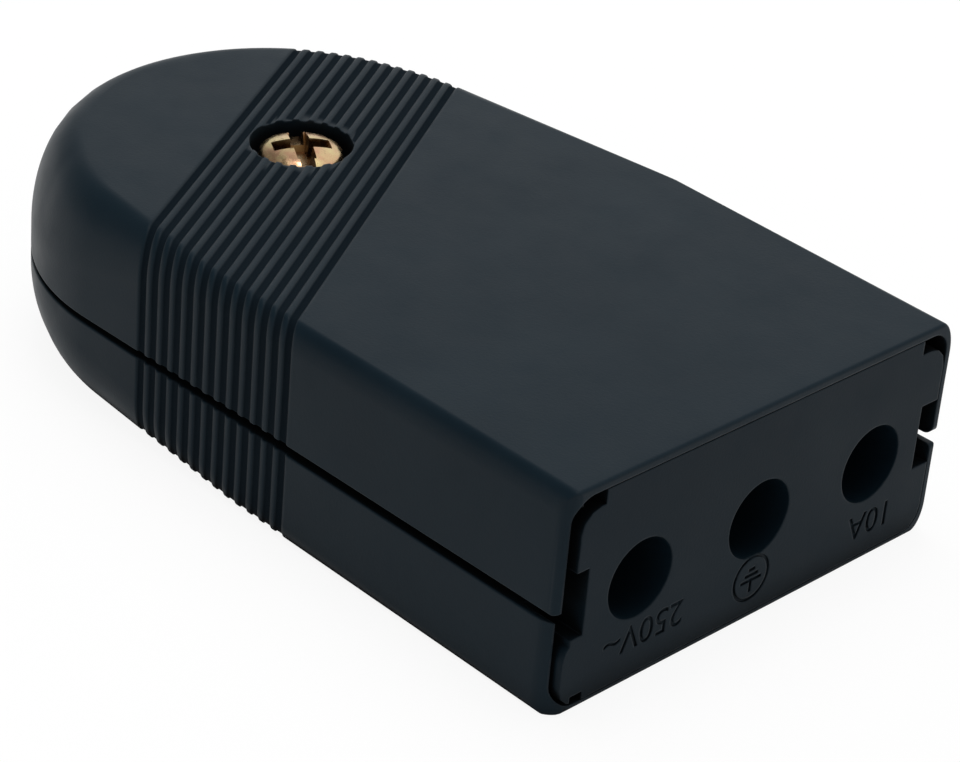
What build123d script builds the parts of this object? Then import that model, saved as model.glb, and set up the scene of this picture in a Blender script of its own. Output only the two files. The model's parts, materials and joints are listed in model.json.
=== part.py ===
from build123d import *
from math import atan2, cos, radians, sin, sqrt
import os

# Sizes in millimetres. Origin at the bottom centre, +X towards the hole face, +Z up.

# Moulded body
body_length = 55.4
pin_side_margin = 6.1
body_height = 14.0
wall = 1.8
straight_length = 20.0
roof_round_depth = 0.6
foot_round_left = 0.45
foot_round_right = 1.3
face_edge_bevel = 0.2
nose_round_depth = 2.6
nose_round_top = 6.0
nose_round_bottom = 5.2
corner_steps = 3

# Parting of the two shells
parting_height = 6.1
parting_gap = 0.6
cover_corner_round = 0.7
base_corner_round = 1.4
rim_terminal_gap = 0.2
rim_height = 1.15
rim_clearance = 0.05
rim_root = 0.2

# Ribbed grip band, set askew across the body
groove_count = 13
groove_pitch = 0.9
groove_width = 0.66
groove_depth = 0.2
groove_corner_steps = 2
band_angle = 31.0
band_from_tip = 17.9

# Pins that the socket takes
pin_radius = 2.0
pin_pitch = 9.5
pin_height = 6.6
pin_hole_clearance = 0.45

# Front plate and its seat between the shells
plate_thickness = 3.0
plate_rim_side = 0.35
plate_rim_top = 0.5
plate_rim_bottom = 0.35
plate_opening_round = 1.5
plate_gap_left = 0.7
plate_gap_foot = 0.25
plate_gap_right = 0.2
plate_gap_edge = 0.05
plate_shoulder_drop = 0.9
plate_shoulder_reach = 2.35
plate_corner_round = 1.35
plate_notch_reach = 1.6
plate_notch_height = 4.2
plate_notch_above_parting = 0.7
foot_notch_width = 0.9
foot_notch_height = 0.5
catch_thickness = 1.1
catch_reach = 0.9
neck_clearance = 0.2
flange_thickness = 1.3
flange_clearance = 0.2
flange_play = 0.1

# Cover screw and nut
screw_from_tip = 16.8
screw_radius = 1.45
screw_hole_clearance = 0.25
screw_head_radius = 2.6
screw_head_edge = 1.0
screw_head_crown = 0.75
screw_head_flat = 1.2
screw_head_depth = 0.75
screw_recess_radius = 3.2
screw_slot_width = 0.9
screw_slot_depth = 0.9
screw_slot_angle = -34.0
screw_end_height = 0.9
boss_radius = 4.2
nut_across_flats = 5.5
nut_thickness = 2.4
nut_thread_clearance = 0.05
nut_pocket_clearance = 0.1
nut_pocket_depth = 3.0

# Contacts
contact_clearance = 0.05
contact_thickness = 0.75
contact_mouth_gap = 0.3
contact_jaw_length = 14.0
contact_seat_clearance = 0.05
terminal_length = 7.0
terminal_width = 6.4
terminal_height = 6.4
wire_hole_width = 2.6
wire_hole_depth = 4.8
clip_setback = 2.0
clip_width = 2.4
clip_thickness = 0.4
clip_clearance = 0.03
clip_opening = 2.0

# Terminal screws
terminal_screw_setback = 3.0
terminal_screw_radius = 1.2
terminal_screw_clearance = 0.05
terminal_screw_length = 3.6
terminal_screw_headroom = 1.2

# Ribs and barriers inside the shells
rib_thickness = 1.5
rib_play = 0.2
rib_root = 0.6
hold_down_gap = 1.1
barrier_thickness = 1.2
barrier_gap = 0.2

# Cord inlet and cord grip
inlet_radius = 4.0
clamp_from_tip = 8.2
clamp_length = 18.0
clamp_width = 4.5
clamp_end_bevel = 1.2
clamp_thickness = 2.2
clamp_height = 7.0
clamp_ridge_height = 0.7
clamp_screw_spacing = 13.2
clamp_screw_radius = 1.2
clamp_screw_clearance = 0.3
clamp_screw_length = 6.0
clamp_pilot_clearance = 0.05
clamp_pilot_depth = 4.6
clamp_head_radius = 2.5
clamp_head_height = 1.6
clamp_post_width = 4.4
saddle_height = 1.6
saddle_length = 8.0
saddle_spacing = 6.4
saddle_thickness = 1.2

# Positions that follow from the sizes
half_width = pin_pitch + pin_side_margin
face_x = body_length / 2
tip_x = -face_x
nose_x = tip_x + half_width
straight_x = face_x - straight_length
band_x = tip_x + band_from_tip
screw_x = tip_x + screw_from_tip
clamp_x = tip_x + clamp_from_tip
base_top = parting_height - parting_gap / 2
cover_bottom = parting_height + parting_gap / 2
inner_half = half_width - wall
inner_high = body_height - wall
rim_thickness = inner_half - pin_pitch - terminal_width / 2 - rim_terminal_gap
seat_x = face_x - plate_thickness
catch_x = seat_x - catch_thickness
flange_x = catch_x - flange_play
plate_back_x = flange_x - flange_thickness
pin_hole_radius = pin_radius + pin_hole_clearance
contact_gap = pin_radius + contact_clearance
contact_half = contact_gap + contact_thickness
mouth_x = plate_back_x - contact_mouth_gap
terminal_front_x = mouth_x - contact_jaw_length
terminal_back_x = terminal_front_x - terminal_length
terminal_screw_x = terminal_back_x + terminal_screw_setback
terminal_top = pin_height + terminal_height / 2
pin_rows = {"left": -pin_pitch, "earth": 0.0, "right": pin_pitch}
clamp_sides = {"left": -clamp_screw_spacing / 2, "right": clamp_screw_spacing / 2}
beyond = 2 * body_length


def block(x0, x1, y0, y1, z0, z1):
    """A rectangular block between two corners."""
    centre = Pos((x0 + x1) / 2, (y0 + y1) / 2, (z0 + z1) / 2)
    return centre * Box(x1 - x0, y1 - y0, z1 - z0)


def rod(radius, x0, x1, y, z):
    """A round rod along X."""
    return Pos((x0 + x1) / 2, y, z) * Rot(0, 90, 0) * Cylinder(radius, x1 - x0)


def post(radius, x, y, z0, z1):
    """A round post along Z."""
    return Pos(x, y, (z0 + z1) / 2) * Cylinder(radius, z1 - z0)


def corner(depth, rise, steps):
    """Points of a quarter ellipse, turning by the same angle at each step."""
    points = []
    for step in range(steps + 1):
        turn = radians(90.0 * step / steps)
        angle = atan2(rise * sin(turn), depth * cos(turn))
        points.append((depth * cos(angle), rise * sin(angle)))
    return points


def half_outline(width, low, high, steps, foot, roof):
    """The right half of the cross-section, from the floor up, with the depth and rise of its two roundings."""
    lower = [(width - foot[0] + out, low + foot[1] - up) for out, up in reversed(corner(*foot, steps))]
    upper = [(width - roof[0] + out, high - roof[1] + up) for out, up in corner(*roof, steps)]
    return lower + upper


def section(x, frame, left_foot, right_foot, roof):
    """The corners of the whole cross-section of the body."""
    right = half_outline(*frame, right_foot, roof)
    left = [(-y, z) for y, z in reversed(half_outline(*frame, left_foot, roof))]
    return [(x, y, z) for y, z in right + left]


def facet(*points):
    """A flat face between corners."""
    return Face(Wire(Polyline(*points, close=True).edges()))


def blend(first, second):
    """The solid between two cross-sections that have their edges parallel."""
    faces = [facet(*first), facet(*second)]
    for index in range(len(first)):
        faces.append(facet(first[index - 1], first[index], second[index], second[index - 1]))
    return Solid(Shell(faces))


def body(inset, steps):
    """The body form, drawn in from its outer surface by an inset."""
    frame = (half_width - inset, inset, body_height - inset, steps)
    foot = (nose_round_depth - inset, nose_round_bottom - inset)
    roof = (nose_round_depth - inset, nose_round_top - inset)
    shares = [(depth - inset) / foot[0] for depth in (foot_round_left, foot_round_right, roof_round_depth)]
    roundings = [(share * depth, share * rise) for share, (depth, rise) in zip(shares, (foot, foot, roof))]
    start = section(straight_x, frame, *roundings)
    end = section(nose_x, frame, foot, foot, roof)
    front = extrude(facet(*start), amount=straight_length, dir=(1, 0, 0))
    edge = [(nose_x, y, z) for y, z in half_outline(*frame, foot, roof)]
    half = facet((nose_x, 0, inset), *edge, (nose_x, 0, body_height - inset))
    nose = revolve(half, axis=Axis((nose_x, 0, 0), (0, 0, 1)), revolution_arc=180)
    return front + blend(start, end) + nose


def upright(inset, x1, z0, z1):
    """The plan of the body as an upright block, drawn in by an inset and cut off at x1."""
    radius = half_width - inset
    plan = Pos(nose_x, 0) * Circle(radius)
    plan += Pos((nose_x + x1) / 2, 0) * Rectangle(x1 - nose_x, 2 * radius)
    return extrude(Pos(0, 0, z0) * plan, amount=z1 - z0)


def panel(x0, x1, left, right, low, high, rounding):
    """A plate with rounded corners, that reaches out to its left and its right from the middle."""
    turn = (rounding, rounding)
    outline = section(x0, ((left + right) / 2, low, high, corner_steps), turn, turn, turn)
    return Pos(0, (right - left) / 2, 0) * extrude(facet(*outline), amount=x1 - x0, dir=(1, 0, 0))


def front_round(edge_z, inward, radius):
    """What is cut from a shell's front corner along the parting, where inward is +1 above and -1 below."""
    round_z = edge_z + inward * radius
    steps = corner(radius, radius, corner_steps)
    arc = [(face_x - radius + out, -beyond, round_z - inward * up) for out, up in steps]
    outline = facet(*arc, (beyond, -beyond, edge_z), (beyond, -beyond, round_z))
    return extrude(outline, amount=2 * beyond, dir=(0, 1, 0))


# Outer form with the grooves of the band cut round it
outer = body(0.0, corner_steps)
outer = chamfer(outer.edges().group_by(Axis.X)[-1], face_edge_bevel)
groove_bed = body(groove_depth, groove_corner_steps)
grooves = []
for index in range(groove_count):
    along = (index - (groove_count - 1) / 2) * groove_pitch / cos(radians(band_angle))
    place = Pos(band_x + along, 0, body_height / 2) * Rot(0, 0, band_angle)
    grooves.append(place * Box(groove_width, beyond, beyond) - groove_bed)
outer = outer - grooves

# Hollow inside, with the seat for the front plate and its catch
hollow = upright(wall, catch_x, wall, inner_high)
neck_half = inner_half - catch_reach
neck_low = wall + catch_reach
neck_high = inner_high - catch_reach
opening_half = half_width - plate_rim_side
opening_low = plate_rim_bottom
opening_high = body_height - plate_rim_top
plate_room = panel(seat_x, beyond, opening_half, opening_half, opening_low, opening_high, plate_opening_round)
neck_room = block(catch_x, seat_x, -neck_half, neck_half, neck_low, neck_high)
casing = outer - [hollow, neck_room, plate_room]

# Inner rim of the base, which stands up inside the cover
rim_top = base_top + rim_height
rim_end_x = plate_back_x - barrier_gap
rim = upright(wall - rim_root, rim_end_x, wall - rim_root, base_top)
rim += upright(wall + rim_clearance, rim_end_x, base_top, rim_top)
rim -= upright(wall + rim_thickness, beyond, wall, body_height)

# Ribs that cradle the contacts, and barriers between the contacts
reach_half = inner_half + rib_root
reach_low = wall - rib_root
reach_high = inner_high + rib_root
front_rib_x = terminal_front_x + rib_play
back_rib_x = terminal_back_x - rib_play - rib_thickness
barrier_end_x = plate_back_x - barrier_gap
stays = block(front_rib_x, front_rib_x + rib_thickness, -reach_half, reach_half, reach_low, reach_high)
stays += block(back_rib_x, back_rib_x + rib_thickness, -reach_half, reach_half, reach_low, reach_high)
for y in (-pin_pitch / 2, pin_pitch / 2):
    y0 = y - barrier_thickness / 2
    stays += block(back_rib_x, barrier_end_x, y0, y0 + barrier_thickness, reach_low, reach_high)
seat_half = contact_half + contact_seat_clearance
seat_low = pin_height - seat_half
seat_high = pin_height + seat_half
for y in pin_rows.values():
    stays -= block(-beyond, beyond, y - seat_half, y + seat_half, seat_low, seat_high)

# Cord inlet through the nose, half in each shell
inlet_hole = rod(inlet_radius, -beyond, nose_x - inner_half / 2, 0, parting_height)

# Upper cover
screw_seat = body_height - screw_head_depth - screw_head_edge
screw_hole_radius = screw_radius + screw_hole_clearance
above_parting = block(-beyond, beyond, -beyond, beyond, cover_bottom, beyond)
above_contacts = block(-beyond, beyond, -beyond, beyond, rim_top + hold_down_gap, beyond)
cover = casing & above_parting
cover += stays & above_contacts
cover += post(boss_radius, screw_x, 0, parting_height, inner_high + rib_root)
cover -= inlet_hole
cover -= post(screw_recess_radius, screw_x, 0, screw_seat, beyond)
cover -= post(screw_hole_radius, screw_x, 0, 0, beyond)
cover -= front_round(cover_bottom, 1, cover_corner_round)

# Lower base
below_parting = block(-beyond, beyond, -beyond, beyond, -beyond, base_top)
base = casing & below_parting
base += rim
base += stays & below_parting
base += post(boss_radius, screw_x, 0, reach_low, parting_height)
half_post = clamp_post_width / 2
pilot_radius = clamp_screw_radius + clamp_pilot_clearance
for y in clamp_sides.values():
    base += block(
        clamp_x - half_post, clamp_x + half_post, y - half_post, y + half_post, reach_low, clamp_height
    )
    base -= post(pilot_radius, clamp_x, y, clamp_height - clamp_pilot_depth, beyond)
for side in (-1, 1):
    x0 = clamp_x + side * saddle_spacing / 2 - saddle_thickness / 2
    y1 = saddle_length / 2
    base += block(x0, x0 + saddle_thickness, -y1, y1, reach_low, wall + saddle_height)
base -= inlet_hole
base -= post(screw_hole_radius, screw_x, 0, -wall, beyond)
pocket_flat = nut_across_flats / 2 + nut_pocket_clearance
pocket = Pos(screw_x, 0, -wall) * RegularPolygon(pocket_flat, 6, major_radius=False)
base -= extrude(pocket, amount=nut_pocket_depth + wall)
base -= front_round(base_top, -1, base_corner_round)

# Front plate, one moulding with its neck and its flange behind the catch
plate_left = opening_half - plate_gap_left
plate_right = opening_half - plate_gap_right
foot_left = opening_half - plate_gap_foot
tall_half = opening_half - plate_shoulder_reach
notch_half = opening_half - plate_notch_reach
plate_low = opening_low + plate_gap_edge
plate_high = opening_high - plate_gap_edge
shoulder_high = plate_high - plate_shoulder_drop
notch_low = parting_height + plate_notch_above_parting - plate_notch_height / 2
notch_high = notch_low + plate_notch_height
slim_half = neck_half - neck_clearance
slim_low = neck_low + neck_clearance
slim_high = neck_high - neck_clearance
wide_half = inner_half - flange_clearance
wide_low = wall + flange_clearance
wide_high = inner_high - flange_clearance
plate = panel(seat_x, face_x, plate_left, plate_right, plate_low, shoulder_high, plate_corner_round)
plate += panel(seat_x, face_x, foot_left, plate_right, plate_low, notch_low, plate_corner_round)
plate += block(seat_x, face_x, -tall_half, tall_half, plate_low, plate_high)
for side in (-1, 1):
    middle = side * notch_half
    outer_edge = side * beyond
    plate -= block(seat_x, beyond, min(middle, outer_edge), max(middle, outer_edge), notch_low, notch_high)
    y0 = middle - foot_notch_width / 2
    plate -= block(seat_x, beyond, y0, y0 + foot_notch_width, 0, plate_low + foot_notch_height)
plate += block(plate_back_x, seat_x, -slim_half, slim_half, slim_low, slim_high)
plate += block(plate_back_x, flange_x, -wide_half, wide_half, wide_low, wide_high)
for y in pin_rows.values():
    plate -= rod(pin_hole_radius, 0, beyond, y, pin_height)

# Cover screw with its crowned head, and its nut
head_edge_top = screw_seat + screw_head_edge
head_top = head_edge_top + screw_head_crown
crown = Cone(screw_head_radius, screw_head_flat, screw_head_crown)
screw = post(screw_head_radius, screw_x, 0, screw_seat, head_edge_top)
screw += Pos(screw_x, 0, (head_edge_top + head_top) / 2) * crown
screw += post(screw_radius, screw_x, 0, screw_end_height, screw_seat)
slot_place = Pos(screw_x, 0, head_top - screw_slot_depth + beyond / 2) * Rot(0, 0, screw_slot_angle)
screw -= slot_place * Box(beyond, screw_slot_width, beyond)
nut_low = nut_pocket_depth - nut_thickness
nut = Pos(screw_x, 0, nut_low) * RegularPolygon(nut_across_flats / 2, 6, major_radius=False)
nut = extrude(nut, amount=nut_thickness)
nut -= post(screw_radius + nut_thread_clearance, screw_x, 0, -wall, beyond)


def contact(y):
    """A contact: two jaws folded up from one strip, and a square terminal behind them."""
    low = pin_height - contact_half
    piece = block(terminal_front_x, mouth_x, y - contact_half, y + contact_half, low, pin_height + contact_half)
    jaw_room = (terminal_front_x, beyond, y - contact_gap, y + contact_gap)
    piece -= block(*jaw_room, pin_height - contact_gap, beyond)
    half = terminal_width / 2
    terminal = (terminal_back_x, terminal_front_x, y - half, y + half)
    piece += block(*terminal, terminal_top - terminal_height, terminal_top)
    wire = wire_hole_width / 2
    wire_room = (-beyond, terminal_back_x + wire_hole_depth, y - wire, y + wire)
    piece -= block(*wire_room, pin_height - wire, pin_height + wire)
    piece -= post(terminal_screw_radius + terminal_screw_clearance, terminal_screw_x, y, pin_height, beyond)
    return piece


def clip(y):
    """The folded steel clip that presses the two jaws of a contact together."""
    inner = contact_half + clip_clearance
    outside = inner + clip_thickness
    x1 = mouth_x - clip_setback
    x0 = x1 - clip_width
    piece = block(x0, x1, y - outside, y + outside, pin_height - outside, pin_height + outside)
    piece -= block(x0, x1, y - inner, y + inner, pin_height - inner, pin_height + inner)
    gap = clip_opening / 2
    return piece - block(x0, x1, y - gap, y + gap, pin_height, beyond)


def clamp_screw(y):
    """A cheese-head screw that pulls the clamp bar down on its post."""
    piece = post(clamp_screw_radius, clamp_x, y, bar_top - clamp_screw_length, bar_top)
    return piece + post(clamp_head_radius, clamp_x, y, bar_top, bar_top + clamp_head_height)


# Cord clamp bar, forked at its ends for the screws, with a ridge that bites on the cord
bar_top = clamp_height + clamp_thickness
bar_x = clamp_width / 2
bar_y = clamp_length / 2
bar = block(clamp_x - bar_x, clamp_x + bar_x, -bar_y, bar_y, clamp_height, bar_top)
bar = chamfer(bar.edges().filter_by(Axis.Z), clamp_end_bevel)
ridge = Pos(clamp_x, 0, clamp_height) * Rot(0, 45, 0)
ridge_side = clamp_ridge_height * sqrt(2)
bar += ridge * Box(ridge_side, saddle_length, ridge_side)
fork = clamp_screw_radius + clamp_screw_clearance
fork_y = clamp_screw_spacing / 2 - fork
bar -= block(clamp_x - fork, clamp_x + fork, fork_y, beyond, 0, beyond)
bar -= block(clamp_x - fork, clamp_x + fork, -beyond, -fork_y, 0, beyond)

pieces = {
    "upper_cover": cover,
    "lower_base": base,
    "front_plate": plate,
    "cover_screw": screw,
    "cover_nut": nut,
    "cord_clamp": bar,
}
for side, y in pin_rows.items():
    screw_top = inner_high - terminal_screw_headroom
    pieces["contact_" + side] = contact(y)
    pieces["contact_clip_" + side] = clip(y)
    pieces["terminal_screw_" + side] = post(
        terminal_screw_radius, terminal_screw_x, y, screw_top - terminal_screw_length, screw_top
    )
for side, y in clamp_sides.items():
    pieces["clamp_screw_" + side] = clamp_screw(y)

os.makedirs("parts", exist_ok=True)
for name, piece in pieces.items():
    piece.label = name
    export_step(piece, "parts/" + name + ".step")
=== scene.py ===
"""Dressed model of a flat in-line socket with a ribbed grip band, on a pale floor."""
import json
import logging
import math
from dataclasses import dataclass, field
from enum import Enum
from typing import Iterable, Sequence

import bmesh
import bpy
from mathutils import Matrix, Vector


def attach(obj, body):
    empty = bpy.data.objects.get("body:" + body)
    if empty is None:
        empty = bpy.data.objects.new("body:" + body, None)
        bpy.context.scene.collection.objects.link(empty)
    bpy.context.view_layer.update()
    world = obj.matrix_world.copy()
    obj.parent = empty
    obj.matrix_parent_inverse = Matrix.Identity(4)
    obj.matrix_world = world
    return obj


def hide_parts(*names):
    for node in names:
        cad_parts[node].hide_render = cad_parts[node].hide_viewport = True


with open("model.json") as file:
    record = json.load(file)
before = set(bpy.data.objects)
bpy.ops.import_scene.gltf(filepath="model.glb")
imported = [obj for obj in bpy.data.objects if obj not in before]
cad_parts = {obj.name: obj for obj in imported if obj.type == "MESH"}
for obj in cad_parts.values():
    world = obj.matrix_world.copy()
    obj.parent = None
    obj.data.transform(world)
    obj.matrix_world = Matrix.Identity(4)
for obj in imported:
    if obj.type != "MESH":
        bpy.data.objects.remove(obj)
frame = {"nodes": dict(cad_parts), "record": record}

LOG = logging.getLogger("in_line_socket")
MM = 0.001
WELD = 1e-4
BODY = "root"
# name of the point attribute that holds each point's share of painted shade in the grooves
GROOVE_SHADE = "groove_shade"
Point = tuple[float, float, float]
Span = tuple[float, float]
Colour = tuple[float, float, float]
UNIT: Span = (0.0, 1.0)
MOST_NOISE: Span = (0.3, 0.7)


class Half(Enum):
    """Which part of the body a form covers."""

    UPPER = "upper"
    LOWER = "lower"
    WHOLE = "whole"


class Zone(Enum):
    """The roundings that a side's profile runs through."""

    COVER_EDGE = "lower edge of the cover"
    ROOF = "upper corner"
    FLOOR = "lower corner"
    BASE_EDGE = "upper edge of the base"


class Cut(Enum):
    """How two solids are combined."""

    TAKE_AWAY = "DIFFERENCE"
    JOIN = "UNION"
    KEEP_COMMON = "INTERSECT"


class MeshShop:
    """Small mesh jobs that every sub-assembly uses, in millimetres."""

    @staticmethod
    def from_bmesh(name: str, work: bmesh.types.BMesh) -> bpy.types.Object:
        """Turns a bmesh into a linked object.

        Args:
            name: Name of the new object.
            work: The bmesh, which is freed.

        Returns:
            The new object.
        """
        mesh = bpy.data.meshes.new(name)
        work.to_mesh(mesh)
        work.free()
        piece = bpy.data.objects.new(name, mesh)
        bpy.context.scene.collection.objects.link(piece)
        return piece

    @staticmethod
    def drop(*pieces: bpy.types.Object) -> None:
        """Removes helper objects and their meshes.

        Args:
            pieces: The objects to remove.
        """
        for piece in pieces:
            mesh = piece.data
            bpy.data.objects.remove(piece)
            bpy.data.meshes.remove(mesh)

    @staticmethod
    def bake(piece: bpy.types.Object) -> None:
        """Replaces a piece's mesh by its evaluated mesh and removes its modifiers.

        Args:
            piece: The piece, which keeps its name.
        """
        graph = bpy.context.evaluated_depsgraph_get()
        mesh = bpy.data.meshes.new_from_object(piece.evaluated_get(graph), depsgraph=graph)
        old = piece.data
        piece.modifiers.clear()
        piece.data = mesh
        mesh.name = piece.name
        bpy.data.meshes.remove(old)

    @classmethod
    def combine(cls, piece: bpy.types.Object, tools: Iterable[bpy.types.Object], cut: Cut) -> None:
        """Combines a piece with tool solids, one after another, and drops the tools.

        Args:
            piece: The solid that is changed.
            tools: The solids that change it.
            cut: What is done with each tool.
        """
        for tool in tools:
            step = piece.modifiers.new("cut", "BOOLEAN")
            step.operation = cut.value
            step.solver = "MANIFOLD"
            step.object = tool
            cls.bake(piece)
            cls.drop(tool)

    @staticmethod
    def bridge(work: bmesh.types.BMesh, rings: Sequence[Sequence[bmesh.types.BMVert]]) -> None:
        """Joins rings of as many corners by faces, each ring to the next.

        Args:
            work: The bmesh that holds the rings.
            rings: The corners of each ring, in order.
        """
        for first, second in zip(rings, rings[1:]):
            for index in range(len(first)):
                work.faces.new((first[index - 1], first[index], second[index], second[index - 1]))

    @classmethod
    def prism(cls, name: str, outline: Sequence[Span], low: float, high: float,
              turn: Matrix | None = None, foot: Sequence[Span] | None = None) -> bpy.types.Object:
        """A straight or tapered prism over a flat outline.

        Args:
            name: Name of the new object.
            outline: Corners in order, counter-clockwise seen from above.
            low: Height of the lower end.
            high: Height of the upper end.
            turn: A matrix that places the prism, if it doesn't stand upright.
            foot: Corners of the lower end, if they differ from the upper ones.

        Returns:
            The prism as an object.
        """
        work = bmesh.new()
        lower = [work.verts.new((x, y, low)) for x, y in foot or outline]
        upper = [work.verts.new((x, y, high)) for x, y in outline]
        work.faces.new(lower[::-1])
        work.faces.new(upper)
        cls.bridge(work, [lower, upper])
        if turn is not None:
            work.transform(turn)
        bmesh.ops.recalc_face_normals(work, faces=work.faces)
        return cls.from_bmesh(name, work)

    @classmethod
    def block(cls, name: str, low: Point, high: Point) -> bpy.types.Object:
        """A rectangular block between two corners."""
        outline = [(low[0], low[1]), (high[0], low[1]), (high[0], high[1]), (low[0], high[1])]
        return cls.prism(name, outline, low[2], high[2])

    @staticmethod
    def circle(radius: float, steps: int, start: float = 0.0) -> list[Span]:
        """Corners of a regular polygon round the origin."""
        turns = [start + 2 * math.pi * step / steps for step in range(steps)]
        return [(radius * math.cos(turn), radius * math.sin(turn)) for turn in turns]

    @staticmethod
    def quarter(radius: float, steps: int = 12) -> list[Span]:
        """Points of a quarter circle, from the first axis to the second."""
        turns = [0.5 * math.pi * step / steps for step in range(steps + 1)]
        return [(radius * math.cos(turn), radius * math.sin(turn)) for turn in turns]

    @staticmethod
    def copy_of_node(name: str) -> bpy.types.Object:
        """A merged copy of a solid of the frame, in millimetres.

        Args:
            name: The solid's node.

        Returns:
            The copy as an object.
        """
        work = bmesh.new()
        work.from_mesh(frame["nodes"][name].data)
        work.transform(Matrix.Scale(1 / MM, 4))
        bmesh.ops.remove_doubles(work, verts=work.verts, dist=WELD)
        return MeshShop.from_bmesh(name + "_copy", work)

    @staticmethod
    def finish(piece: bpy.types.Object, material: bpy.types.Material, sharp_angle: float = 34.0) -> None:
        """Brings a piece to metres, shades it and gives it its material.

        Args:
            piece: The piece, still in millimetres.
            material: Its material.
            sharp_angle: Edges that turn by more than this many degrees stay sharp.
        """
        work = bmesh.new()
        work.from_mesh(piece.data)
        bmesh.ops.remove_doubles(work, verts=work.verts, dist=2 * WELD)
        bmesh.ops.dissolve_degenerate(work, edges=work.edges, dist=WELD)
        work.transform(Matrix.Scale(MM, 4))
        for face in work.faces:
            face.smooth = True
            face.material_index = 0
        limit = math.radians(sharp_angle)
        for edge in work.edges:
            edge.smooth = len(edge.link_faces) == 2 and edge.calc_face_angle(0.0) < limit
        work.to_mesh(piece.data)
        work.free()
        piece.data.materials.clear()
        piece.data.materials.append(material)
        step = piece.modifiers.new("normals", "WEIGHTED_NORMAL")
        step.keep_sharp = True
        step.weight = 100
        MeshShop.bake(piece)


class NodeSheet:
    """A thin wrapper that adds and links shader or geometry nodes."""

    def __init__(self, tree: bpy.types.NodeTree) -> None:
        """Keeps the tree that the nodes go into."""
        self.tree = tree

    def add(self, kind: str, **settings: object) -> bpy.types.Node:
        """Adds a node and sets its properties.

        Args:
            kind: The node's type name.
            settings: Its properties by name.

        Returns:
            The new node.
        """
        node = self.tree.nodes.new(kind)
        for name, value in settings.items():
            setattr(node, name, value)
        return node

    def link(self, source: bpy.types.NodeSocket, target: bpy.types.NodeSocket) -> None:
        """Links two sockets."""
        self.tree.links.new(source, target)

    def math(self, operation: str, first: object, second: object = None) -> bpy.types.NodeSocket:
        """A math node with sockets or numbers as its operands.

        Args:
            operation: The node's operation.
            first: A socket or a number.
            second: A socket or a number, where the operation takes two.

        Returns:
            The node's output.
        """
        node = self.add("ShaderNodeMath", operation=operation)
        for index, value in enumerate((first, second)):
            if isinstance(value, bpy.types.NodeSocket):
                self.link(value, node.inputs[index])
            elif value is not None:
                node.inputs[index].default_value = value
        return node.outputs[0]

    def noise(self, coordinates: bpy.types.NodeSocket, size: float, detail: float,
              roughness: float = 0.5) -> bpy.types.NodeSocket:
        """Noise whose features are about one size.

        Args:
            coordinates: The place on the surface, in metres.
            size: Feature size in millimetres.
            detail: Octaves of the noise.
            roughness: Share of the finer octaves.

        Returns:
            The noise value from 0 to 1.
        """
        node = self.add("ShaderNodeTexNoise")
        node.inputs["Scale"].default_value = 1 / (size * MM)
        node.inputs["Detail"].default_value = detail
        node.inputs["Roughness"].default_value = roughness
        self.link(coordinates, node.inputs["Vector"])
        return node.outputs["Fac"]

    def spread(self, value: bpy.types.NodeSocket, source: Span, target: Span) -> bpy.types.NodeSocket:
        """Maps a value from one range to another, clamped.

        Args:
            value: The value to map.
            source: The range that it comes from.
            target: The range that it goes to.

        Returns:
            The mapped value.
        """
        node = self.add("ShaderNodeMapRange")
        self.link(value, node.inputs["Value"])
        for name, number in zip(("From Min", "From Max", "To Min", "To Max"), (*source, *target)):
            node.inputs[name].default_value = number
        return node.outputs["Result"]

    def tint(self, factor: bpy.types.NodeSocket, first: object, second: object) -> bpy.types.NodeSocket:
        """Mixes two colours by a factor.

        Args:
            factor: Share of the second colour.
            first: A socket or three numbers.
            second: A socket or three numbers.

        Returns:
            The mixed colour.
        """
        node = self.add("ShaderNodeMix", data_type="RGBA")
        self.link(factor, node.inputs[0])
        for index, value in ((6, first), (7, second)):
            if isinstance(value, bpy.types.NodeSocket):
                self.link(value, node.inputs[index])
            else:
                node.inputs[index].default_value = (*value, 1.0)
        return node.outputs[2]


class Finish:
    """A finish that makes one procedural material."""

    name: str

    def start(self) -> tuple[bpy.types.Material, NodeSheet, bpy.types.Node, bpy.types.NodeSocket]:
        """Starts a material.

        Returns:
            The material, its node sheet, its main shader and the Object coordinates.
        """
        material = bpy.data.materials.new(self.name)
        material.use_nodes = True
        sheet = NodeSheet(material.node_tree)
        shader = material.node_tree.nodes["Principled BSDF"]
        place = sheet.add("ShaderNodeTexCoord").outputs["Object"]
        return material, sheet, shader, place

    def make(self) -> bpy.types.Material:
        """Makes the material."""
        raise NotImplementedError


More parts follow.
